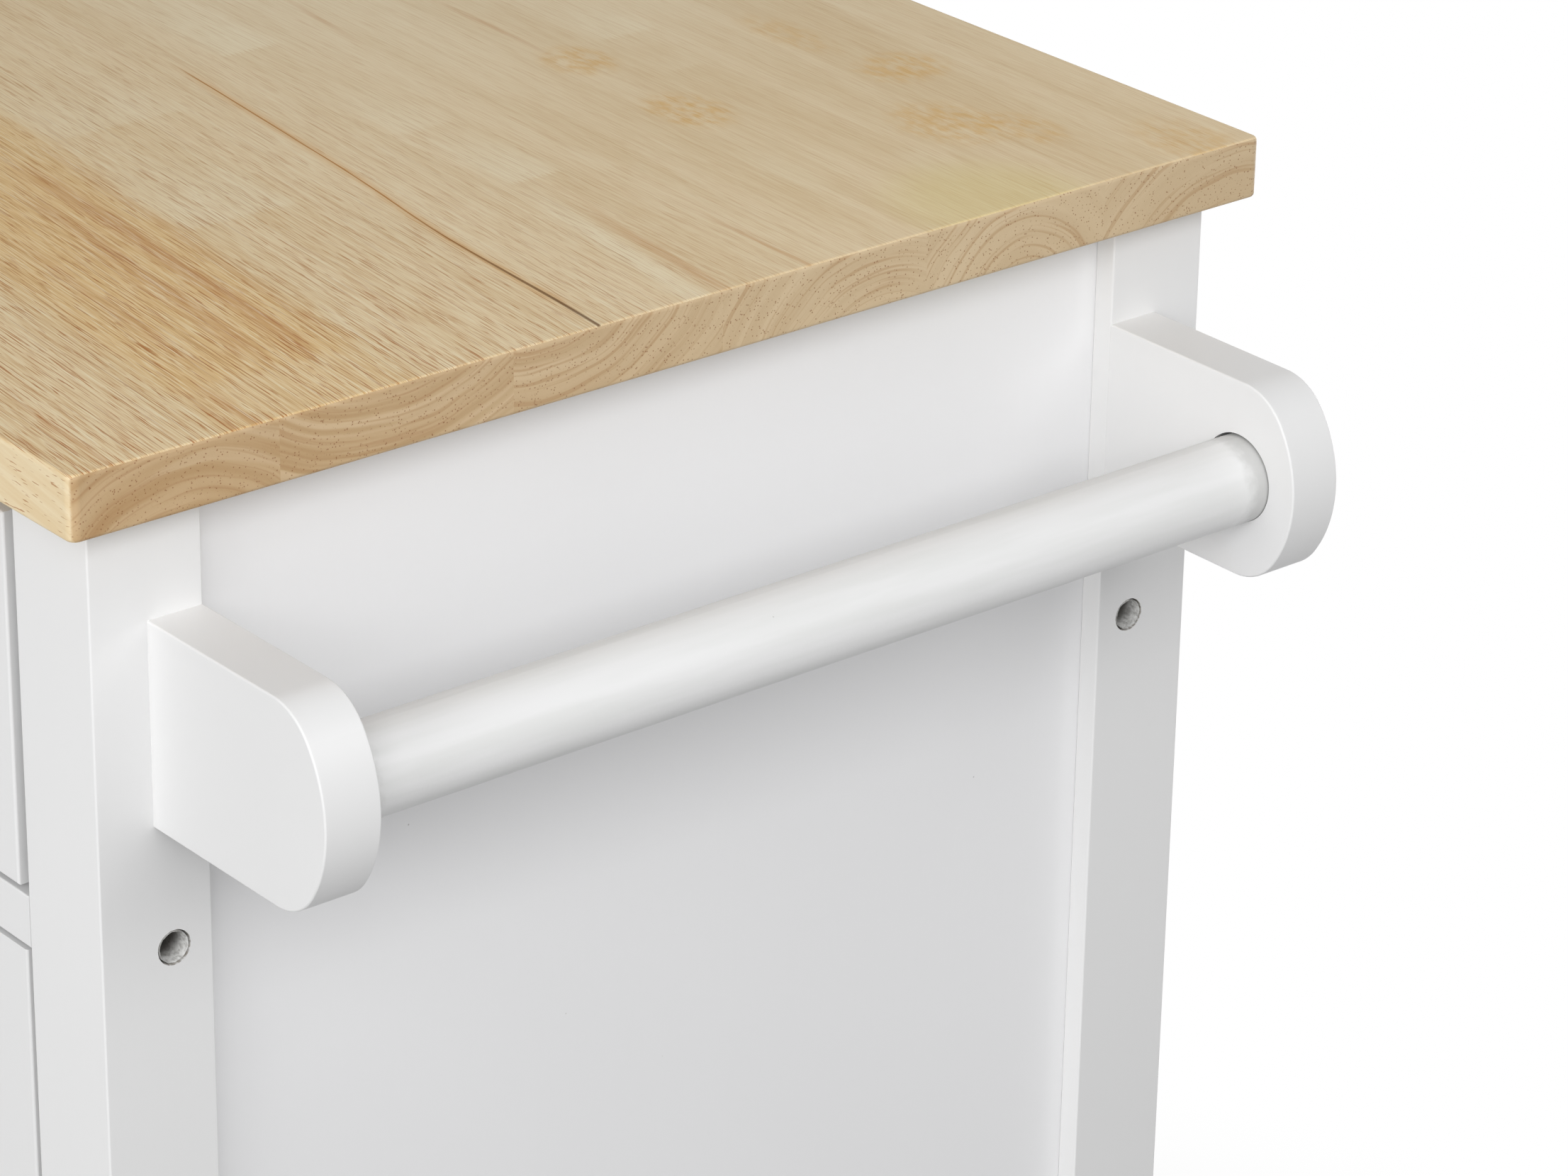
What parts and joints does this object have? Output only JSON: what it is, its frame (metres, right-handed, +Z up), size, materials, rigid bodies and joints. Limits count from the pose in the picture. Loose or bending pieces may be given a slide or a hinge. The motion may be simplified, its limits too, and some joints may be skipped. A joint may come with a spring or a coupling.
{
  "type": "kitchen cart",
  "caption": "Kitchen cart: wooden worktop on a white cabinet with a drawer on roller slides over hinged doors, a towel bar on one side, and swivel casters with brakes",
  "frame": {"origin": "the middle of the foot of the whole cart's bounding box, on the floor under the wheels", "axes": "+X is the cart's right side with the towel bar, -Y is the front with the drawer and doors, +Z is up"},
  "size_m": [0.665, 0.414, 0.865],
  "materials": {
    "worktop_wood": "finger-jointed light hardwood, satin lacquer",
    "white_paint": "satin white paint on wood",
    "dowel_wood": "raw hardwood",
    "zinc_steel": "bright zinc plate",
    "nickel": "satin nickel plate",
    "white_steel": "white powder coat",
    "white_nylon": "white nylon",
    "wheel_plastic": "dark grey moulded plastic",
    "pedal_plastic": "black moulded plastic"
  },
  "bodies": {
    "carcass": {"worktop": "worktop_wood", "post_front_left": "white_paint", "post_front_right": "white_paint", "post_rear_left": "white_paint", "post_rear_right": "white_paint", "side_panel_left": "white_paint", "side_panel_right": "white_paint", "back_panel": "white_paint", "bottom_panel": "white_paint", "support_battens": "white_paint", "front_rails": "white_paint", "rear_rails": "white_paint", "front_top_rail": "white_paint", "rear_top_rail": "white_paint", "top_rail_dowels": "dowel_wood", "rail_bolts": "zinc_steel", "rail_barrel_nuts": "zinc_steel", "wood_screws": "zinc_steel", "shelf": "white_paint", "shelf_pins": "zinc_steel", "cabinet_slides": "white_steel", "post_hinge_leaves": "nickel", "hinge_pins": "nickel", "magnetic_catches": "white_nylon", "towel_bracket_front": "white_paint", "towel_bracket_rear": "white_paint", "towel_bar": "white_paint", "caster_stems": "zinc_steel", "caster_inserts": "zinc_steel"},
    "drawer": {"drawer_front": "white_paint", "drawer_back": "white_paint", "drawer_bottom": "white_paint", "drawer_side_left": "white_paint", "drawer_side_right": "white_paint", "drawer_knob": "nickel", "drawer_slides": "white_steel"},
    "roller_front_left": {"slide_roller_front_left": "white_nylon"},
    "roller_rear_left": {"slide_roller_rear_left": "white_nylon"},
    "roller_front_right": {"slide_roller_front_right": "white_nylon"},
    "roller_rear_right": {"slide_roller_rear_right": "white_nylon"},
    "door_left": {"door_left_frame": "white_paint", "door_left_panel": "white_paint", "door_left_hinge_leaves": "nickel", "door_left_knob": "nickel", "door_left_strike": "zinc_steel"},
    "door_right": {"door_right_frame": "white_paint", "door_right_panel": "white_paint", "door_right_hinge_leaves": "nickel", "door_right_knob": "nickel", "door_right_strike": "zinc_steel"},
    "fork_front_left": {"caster_fork_front_left": "zinc_steel"},
    "wheel_front_left": {"caster_wheel_front_left": "wheel_plastic"},
    "brake_front_left": {"caster_brake_front_left": "pedal_plastic"},
    "fork_front_right": {"caster_fork_front_right": "zinc_steel"},
    "wheel_front_right": {"caster_wheel_front_right": "wheel_plastic"},
    "brake_front_right": {"caster_brake_front_right": "pedal_plastic"},
    "fork_rear_left": {"caster_fork_rear_left": "zinc_steel"},
    "wheel_rear_left": {"caster_wheel_rear_left": "wheel_plastic"},
    "fork_rear_right": {"caster_fork_rear_right": "zinc_steel"},
    "wheel_rear_right": {"caster_wheel_rear_right": "wheel_plastic"}
  },
  "joints": [
    {"name": "drawer_slide", "type": "slide", "parent": "carcass", "child": "drawer", "axis": [0, -1, 0], "range_m": [0, 0.25]},
    {"name": "slide_roller_front_left_spin", "type": "hinge", "parent": "carcass", "child": "roller_front_left", "pos_m": [-0.2815, -0.154, 0.747], "axis": [1, 0, 0], "range_deg": [0, 1910]},
    {"name": "slide_roller_rear_left_spin", "type": "hinge", "parent": "drawer", "child": "roller_rear_left", "pos_m": [-0.2815, 0.1475, 0.747], "axis": [1, 0, 0], "range_deg": [0, 1910]},
    {"name": "slide_roller_front_right_spin", "type": "hinge", "parent": "carcass", "child": "roller_front_right", "pos_m": [0.2165, -0.154, 0.747], "axis": [1, 0, 0], "range_deg": [0, 1910]},
    {"name": "slide_roller_rear_right_spin", "type": "hinge", "parent": "drawer", "child": "roller_rear_right", "pos_m": [0.2165, 0.1475, 0.747], "axis": [1, 0, 0], "range_deg": [0, 1910]},
    {"name": "door_left_hinge", "type": "hinge", "parent": "carcass", "child": "door_left", "pos_m": [-0.2864, -0.1853, 0.4095], "axis": [0, 0, -1], "range_deg": [0, 170]},
    {"name": "door_right_hinge", "type": "hinge", "parent": "carcass", "child": "door_right", "pos_m": [0.2214, -0.1853, 0.4095], "axis": [0, 0, 1], "range_deg": [0, 170]},
    {"name": "caster_front_left_swivel", "type": "hinge", "parent": "carcass", "child": "fork_front_left", "pos_m": [-0.3045, -0.165, 0.059], "axis": [0, 0, 1], "continuous": true},
    {"name": "caster_front_left_wheel_spin", "type": "hinge", "parent": "fork_front_left", "child": "wheel_front_left", "pos_m": [-0.2875, -0.165, 0.025], "axis": [0, 1, 0], "continuous": true},
    {"name": "caster_front_left_brake", "type": "hinge", "parent": "fork_front_left", "child": "brake_front_left", "pos_m": [-0.2805, -0.165, 0.056], "axis": [0, 1, 0], "range_deg": [0, 11]},
    {"name": "caster_front_right_swivel", "type": "hinge", "parent": "carcass", "child": "fork_front_right", "pos_m": [0.2395, -0.165, 0.059], "axis": [0, 0, 1], "continuous": true},
    {"name": "caster_front_right_wheel_spin", "type": "hinge", "parent": "fork_front_right", "child": "wheel_front_right", "pos_m": [0.2225, -0.165, 0.025], "axis": [0, 1, 0], "continuous": true},
    {"name": "caster_front_right_brake", "type": "hinge", "parent": "fork_front_right", "child": "brake_front_right", "pos_m": [0.2155, -0.165, 0.056], "axis": [0, -1, 0], "range_deg": [0, 11]},
    {"name": "caster_rear_left_swivel", "type": "hinge", "parent": "carcass", "child": "fork_rear_left", "pos_m": [-0.3045, 0.179, 0.059], "axis": [0, 0, 1], "continuous": true},
    {"name": "caster_rear_left_wheel_spin", "type": "hinge", "parent": "fork_rear_left", "child": "wheel_rear_left", "pos_m": [-0.3045, 0.162, 0.025], "axis": [1, 0, 0], "continuous": true},
    {"name": "caster_rear_right_swivel", "type": "hinge", "parent": "carcass", "child": "fork_rear_right", "pos_m": [0.2395, 0.179, 0.059], "axis": [0, 0, 1], "continuous": true},
    {"name": "caster_rear_right_wheel_spin", "type": "hinge", "parent": "fork_rear_right", "child": "wheel_rear_right", "pos_m": [0.2395, 0.162, 0.025], "axis": [1, 0, 0], "continuous": true}
  ],
  "couplings": [
    {"joint": "slide_roller_front_left_spin", "follows": "drawer_slide", "rad_per_m": 133.33},
    {"joint": "slide_roller_rear_left_spin", "follows": "drawer_slide", "rad_per_m": 133.33},
    {"joint": "slide_roller_front_right_spin", "follows": "drawer_slide", "rad_per_m": 133.33},
    {"joint": "slide_roller_rear_right_spin", "follows": "drawer_slide", "rad_per_m": 133.33}
  ]
}
